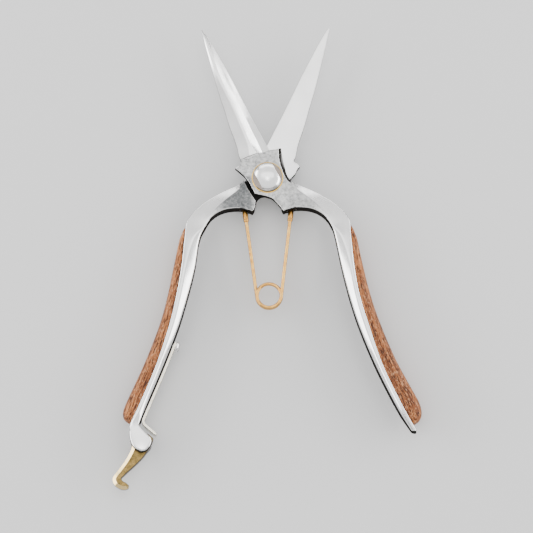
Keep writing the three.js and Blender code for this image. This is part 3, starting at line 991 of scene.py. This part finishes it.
def bolt():
    low = -STACK_TOP - BOLT_HEAD
    profile = [
        (0, low),
        (5.2, low),
        (5.6, low + 0.1),
        (5.9, low + 0.35),
        (6, low + 0.7),
        (6, -STACK_TOP),
        (BOLT_RADIUS, -STACK_TOP),
        (BOLT_RADIUS, STACK_TOP + 1),
        (0, STACK_TOP + 1),
    ]
    return lathe("pivot_bolt_turned", profile)


# ---------------------------------------------------------------- spring

WIRE_RADIUS = 0.72
COIL_RADIUS = 5.0
COIL_PITCH = 1.8
COIL_CENTRE = (0, -48.7)
COIL_STEPS = 120
LEG_STEPS = 30
FERRULE_LENGTH = 6.2


def spring_path():
    """Left leg, one and a half turns of coil, right leg."""
    slant = math.radians(LEG_SLANT)
    sweep = 3 * math.pi - 2 * slant
    rise = COIL_PITCH * sweep / (2 * math.pi)
    coil = []
    for step in range(COIL_STEPS + 1):
        share = step / COIL_STEPS
        angle = math.pi + slant + sweep * share
        x = COIL_CENTRE[0] + COIL_RADIUS * math.cos(angle)
        y = COIL_CENTRE[1] + COIL_RADIUS * math.sin(angle)
        coil.append(Vector((x, y, rise * (share - 0.5))))
    legs = []
    for side, foot in ((-1, coil[0]), (1, coil[-1])):
        top = Vector((side * LEG_SOCKET[0], LEG_SOCKET[1], 0))
        legs.append([top.lerp(foot, step / LEG_STEPS) for step in range(2, LEG_STEPS)])
    return legs[0] + coil + legs[1][::-1]


def ferrule(name, side):
    """The sleeve on a leg's upper end, with a groove near its foot."""
    foot = -FERRULE_LENGTH
    profile = [
        (0, foot),
        (0.85, foot),
        (1.02, foot + 0.12),
        (1.1, foot + 0.35),
        (1.1, foot + 0.9),
        (1.02, foot + 1.0),
        (1.1, foot + 1.1),
        (1.1, -0.3),
        (0.9, 0),
        (0, 0),
    ]
    piece = lathe(name, profile, 40)
    upright = Matrix.Rotation(-math.pi / 2, 4, "X")
    turn = Matrix.Rotation(math.radians(-side * LEG_SLANT), 4, "Z") @ upright
    top = Matrix.Translation((side * LEG_SOCKET[0], LEG_SOCKET[1], 0))
    piece.data.transform(top @ turn)
    return piece


# ---------------------------------------------------------------- catch

CATCH_PIN = (53.4, -107.6)
PIN_RADIUS = 1.2
CHEEK = outline(
    curve(
        [
            (54.2, -102.2),
            (57.2, -102.9),
            (57.8, -105),
            (57.6, -108.5),
            (56.3, -111.7),
            (54, -113.4),
            (51.7, -113.5),
            (49.9, -112),
            (48.9, -109.8),
            (49.3, -107.9),
            (51.4, -105.6),
            (53.1, -103.7),
            (54.2, -102.2),
        ]
    )
)
CHEEK_HALF = 4.9
SLOT_HALF = 2.1
SLOT_RADIUS = 6.4
HOOK_HALF = 1.8
HOOK_INNER = [
    (48.1, -107.7),
    (48.7, -110),
    (51.4, -114.5),
    (54.8, -118.2),
    (58.9, -121.9),
    (61.3, -124.2),
]
HOOK_FINGER = [(61.3, -124.2), (60.9, -125.2), (59.4, -126.1), (58.3, -127.2)]
HOOK_OUTER = [
    (58.3, -127.2),
    (58.6, -128.4),
    (60.2, -128.9),
    (62, -128.5),
    (63.8, -127.3),
    (64.8, -125.6),
    (64.7, -123.5),
    (62.2, -120.2),
    (59.2, -116),
    (56.9, -111.3),
    (56.6, -107.4),
    (55.2, -105),
]
HOOK_HEEL = [(55.2, -105), (52.8, -104.6), (50.3, -105.8), (48.1, -107.7)]
# Inset and drop of the hook's broad outer chamfer and of the edges elsewhere.
BROAD_CHAMFER = (1.3, 1.0)
NARROW_CHAMFER = (0.3, 0.9)


def smoothed(values):
    """Each value becomes the mean of itself and its two neighbours in a closed run."""
    following = values[1:] + values[:1]
    return [(values[k - 1] + values[k] + following[k]) / 3 for k in range(len(values))]


def hook():
    inner, finger, outer = curve(HOOK_INNER), curve(HOOK_FINGER), curve(HOOK_OUTER)
    points = outline(inner, finger, outer, curve(HOOK_HEEL))
    broad = set(outer[3:-6])
    chamfers = [BROAD_CHAMFER if point in broad else NARROW_CHAMFER for point in points]
    insets = [inset for inset, _ in chamfers]
    drop = [down for _, down in chamfers]
    for _ in range(3):
        insets, drop = smoothed(insets), smoothed(drop)
    piece = slab("catch_hook_cast", points, -HOOK_HALF, HOOK_HALF, insets=insets, drop=drop, steps=2)
    bore = outline(arc(*CATCH_PIN, PIN_RADIUS + 0.1, 0, 360, 32))
    boolean(piece, slab("bore", bore, -6, 6, 0.05), "DIFFERENCE")
    return piece


def forked_end(piece):
    """Adds the rounded cheeks to the left strap and cuts the slot for the hook."""
    top = CHEEK_HALF + STEP
    boolean(piece, slab("cheeks", CHEEK, -top, top, 0.8, steps=6), "UNION")
    x, y = CATCH_PIN
    mouth = [(x - SLOT_RADIUS, y - 9), (x + SLOT_RADIUS, y - 9)]
    slot = outline(mouth, arc(x, y, SLOT_RADIUS, 0, 180, 24))
    boolean(piece, slab("slot", slot, -SLOT_HALF, SLOT_HALF, 0.1), "DIFFERENCE")


LEAF_START, LEAF_END = 8.333, 10.667
LEAF_GAP = 0.3
LEAF_THICKNESS = 1.1
LEAF_HALF_WIDTH = 2.6
LEAF_STEPS = 40
LEAF_LIP = [(52.1, -101.4), (51.5, -102.3), (50.6, -103.1), (46.9, -106.4)]


def finger_normal(strap, place):
    ahead = Vector(blend_value(strap["finger"], place + 0.02))
    behind = Vector(blend_value(strap["finger"], place - 0.02))
    along = (ahead - behind).normalized()
    return Vector((-along.y, along.x))


def leaf():
    """A strip that follows the left strap's finger side and turns away into its lip."""
    line = []
    for step in range(LEAF_STEPS + 1):
        place = LEAF_START + (LEAF_END - LEAF_START - 0.2) * step / LEAF_STEPS
        finger = strap_at(LEFT_STRAP, place)[0]
        line.append(finger - finger_normal(LEFT_STRAP, place) * (LEAF_GAP + LEAF_THICKNESS / 2))
    lip = curve([tuple(line[-1])] + LEAF_LIP, 8)[1:]
    line += [Vector(point) for point in lip]
    rings = []
    for index, point in enumerate(line):
        along = (line[min(index + 1, len(line) - 1)] - line[max(index - 1, 0)]).normalized()
        side = Vector((-along.y, along.x))
        thick, wide = LEAF_THICKNESS / 2, LEAF_HALF_WIDTH
        if index == 0 or index == len(line) - 1:
            thick, wide = thick * 0.6, wide - 0.15
        corners = [(-thick, wide), (-thick, -wide), (thick, -wide), (thick, wide)]
        section = rounded(corners, [0.16] * 4, 3)
        rings.append([(*(point + side * p.x), p.y) for p in section])
    return loft("catch_leaf_strip", rings)


def leaf_screw():
    """Dome-head screw through the leaf's upper end."""
    under = LEAF_GAP + LEAF_THICKNESS + 0.05
    profile = [(0, -3), (1.2, -3), (1.2, under), (2.4, under)]
    profile += dome(2.5, under + 0.15, 1.6, 12)
    profile.append((0, under + 1.75))
    piece = lathe("catch_leaf_screw_dome", profile, 48)
    groove = [(-0.3, -4), (0.3, -4), (0.3, 4), (-0.3, 4)]
    boolean(piece, slab("groove", groove, under + 1.0, under + 3, 0.02), "DIFFERENCE")
    place_on = LEAF_START + 0.08
    finger = strap_at(LEFT_STRAP, place_on)[0]
    normal = Vector((*-finger_normal(LEFT_STRAP, place_on), 0))
    turn = Vector((0, 0, 1)).rotation_difference(normal).to_matrix().to_4x4()
    piece.data.transform(Matrix.Translation((*finger, 0)) @ turn)
    return piece


def catch_pin():
    """A rivet that fills the cheeks' thickness, with rounded ends."""
    half = 4.88
    upper = [(PIN_RADIUS, half - 0.4), (1.15, half - 0.12), (0.9, half), (0, half)]
    lower = [(radius, -height) for radius, height in upper[::-1]]
    piece = lathe("catch_pin_rivet", lower + upper, 40)
    piece.data.transform(Matrix.Translation((*CATCH_PIN, 0)))
    return piece


# ---------------------------------------------------------------- assembly

# Crease angles in degrees for the forgings, for their blades, for wood, and for the nut and hook.
ARM_CREASES = (35, 7)
WOOD_CREASE = 60
CAST_CREASE = 25

front_plate = plate_body(EAR_FRONT, WAIST_FRONT, CHEST_FRONT, LOBE_FRONT)
front_arm = place(arm("front_arm_forging", RIGHT_STRAP, front_plate), FRONT, *ARM_CREASES)
show(front_arm, FRONT_STEEL, "front_arm", "forged_steel", "front_arm")

rear_plate = plate_body(EAR_REAR, WAIST_REAR, CHEST_REAR, LOBE_REAR)
rear_arm = arm("rear_arm_forging", LEFT_STRAP, rear_plate)
forked_end(rear_arm)
show(place(rear_arm, REAR, *ARM_CREASES), REAR_STEEL, "rear_arm", "forged_steel", "rear_arm")

right_scale = place(grip_scale("right_scale_walnut", RIGHT_STRAP), FRONT, WOOD_CREASE)
show(right_scale, WALNUT, "front_arm", "walnut", "right_grip_scale")
left_scale = place(grip_scale("left_scale_walnut", LEFT_STRAP), REAR, WOOD_CREASE)
show(left_scale, WALNUT, "rear_arm", "walnut", "left_grip_scale")

show(place(nut(), FRONT, CAST_CREASE), NUT_STEEL, "rear_arm", "polished_steel", "pivot_nut")
show(place(bolt(), FRONT), POLISHED, "rear_arm", "polished_steel", "pivot_bolt")
front_washer = place(washer("front_washer_ring", PLATE_TOP), FRONT)
show(front_washer, RING_BRASS, "rear_arm", "brass", "front_washer")
rear_washer = place(washer("rear_washer_ring", -PLATE_TOP - WASHER_THICKNESS), FRONT)
show(rear_washer, RING_BRASS, "rear_arm", "brass", "rear_washer")

# The wire bends across its coil, and the leaf from its screw to the start of its lip. Both are
# built once in place and attached to no body.
wire = place(tube("spring_wire", spring_path(), WIRE_RADIUS), FRONT)
wire.data.materials.append(WIRE_BRASS)
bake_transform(wire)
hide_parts("spring_left_leg", "spring_right_leg")
for hand, side in (("left", -1), ("right", 1)):
    sleeve = place(ferrule(f"{hand}_ferrule_sleeve", side), FRONT)
    show(sleeve, BRASS, f"spring_{hand}", "brass", f"spring_{hand}_ferrule")

show(place(hook(), REAR, CAST_CREASE), AGED_BRASS, "catch_hook", "brass", "catch_hook")
show(place(catch_pin(), REAR), POLISHED, "rear_arm", "polished_steel", "catch_pin")
leaf_strip = place(leaf(), REAR)
leaf_strip.data.materials.append(LEAF_BRASS)
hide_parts("catch_leaf")
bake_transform(leaf_strip)
show(place(leaf_screw(), REAR), POLISHED, "rear_arm", "polished_steel", "catch_leaf_screw")
# The scale screws are out of sight. They keep the frame's shape and take the polished steel.
for node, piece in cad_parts.items():
    if "scale_screw" in node:
        piece.data.materials.clear()
        piece.data.materials.append(POLISHED)

# ---------------------------------------------------------------- stage, light and camera

FLOOR_TONE = 0.6
FLOOR_HALF = 6
FLOOR_DROP = 0.0002
# The sky brightens from the horizon tone to the sky tone between these two heights.
HORIZON_TONE, SKY_TONE = 0.1, 1.6
FADE_LOW, FADE_HIGH = 0.1, 0.5
# Name, place, width, height and power of each soft light. All face the middle of the snips.
SOFT_LIGHTS = [
    ("left_softbox", (-0.8, 0.05, 0.22), 1.2, 0.4, 11),
    ("right_softbox", (0.8, 0.05, 0.22), 1.2, 0.4, 11),
    ("back_softbox", (0, 1.0, 0.25), 1.4, 0.4, 6),
    ("top_softbox", (0, 0.3, 1.1), 1.2, 0.5, 2.5),
]
SNIPS_MIDDLE = Vector((0, -0.03, 0))
# A lamp high above that throws a soft pool of light round the snips.
POOL_PLACE = (-0.03, -0.1, 2.2)
POOL_ANGLE = 16
POOL_POWER = 20
POOL_SOFTNESS = 0.25
# The camera's angle above the floor, its turn about the line of sight, its distance, the width
# of the view at that distance, and the point it faces.
ELEVATION, ROLL = 78, 0.8
DISTANCE = 5
VIEW_WIDTH = 0.2185
VIEW_TARGET = Vector((-0.00092, -0.03638, ARM_MIDDLE * MM))
SENSOR_WIDTH = 36


def floor():
    n = Nodes("floor_grey")
    material = n.finish(grey(FLOOR_TONE), 0.0, 0.9)
    n.shader.inputs["Specular IOR Level"].default_value = 0.1
    half = FLOOR_HALF
    corners = [(-half, -half, 0), (half, -half, 0), (half, half, 0), (-half, half, 0)]
    sheet = mesh_object("floor", corners, [(0, 1, 2, 3)])
    sheet.location.z = -FLOOR_DROP
    sheet.data.materials.append(material)


def soft_light(name, spot, width, height, power):
    data = bpy.data.lights.new(name, "AREA")
    data.shape = "RECTANGLE"
    data.size, data.size_y = width, height
    data.energy = power
    light = bpy.data.objects.new(name, data)
    light.location = spot
    light.rotation_euler = (SNIPS_MIDDLE - Vector(spot)).to_track_quat("-Z", "Y").to_euler()
    bpy.context.collection.objects.link(light)


def sky():
    """A grey world that is darker near the horizon."""
    world = bpy.data.worlds.new("studio")
    bpy.context.scene.world = world
    world.use_nodes = True
    tree = world.node_tree
    height = tree.nodes.new("ShaderNodeSeparateXYZ")
    tree.links.new(tree.nodes.new("ShaderNodeTexCoord").outputs["Generated"], height.inputs[0])
    fade = tree.nodes.new("ShaderNodeMapRange")
    tree.links.new(height.outputs[2], fade.inputs["Value"])
    fade.inputs["From Min"].default_value = FADE_LOW
    fade.inputs["From Max"].default_value = FADE_HIGH
    fade.inputs["To Min"].default_value = HORIZON_TONE
    fade.inputs["To Max"].default_value = SKY_TONE
    tree.links.new(fade.outputs["Result"], tree.nodes["Background"].inputs["Color"])


def pool_light():
    pool = bpy.data.lights.new("pool", "SPOT")
    pool.spot_size = math.radians(POOL_ANGLE)
    pool.spot_blend = 1.0
    pool.shadow_soft_size = POOL_SOFTNESS
    pool.energy = POOL_POWER
    lamp = bpy.data.objects.new("pool", pool)
    lamp.location = POOL_PLACE
    bpy.context.collection.objects.link(lamp)


def camera():
    elevation = math.radians(ELEVATION)
    data = bpy.data.cameras.new("camera")
    data.sensor_width = SENSOR_WIDTH
    data.lens = SENSOR_WIDTH * DISTANCE / VIEW_WIDTH
    body = bpy.data.objects.new("camera", data)
    back = Vector((0, -math.cos(elevation), math.sin(elevation)))
    body.location = VIEW_TARGET + back * DISTANCE
    roll = Matrix.Rotation(-math.radians(ROLL), 3, "Z")
    turn = (-back).to_track_quat("-Z", "Y").to_matrix() @ roll
    body.rotation_euler = turn.to_euler()
    bpy.context.collection.objects.link(body)
    bpy.context.scene.camera = body


floor()
sky()
for soft in SOFT_LIGHTS:
    soft_light(*soft)
pool_light()
camera()
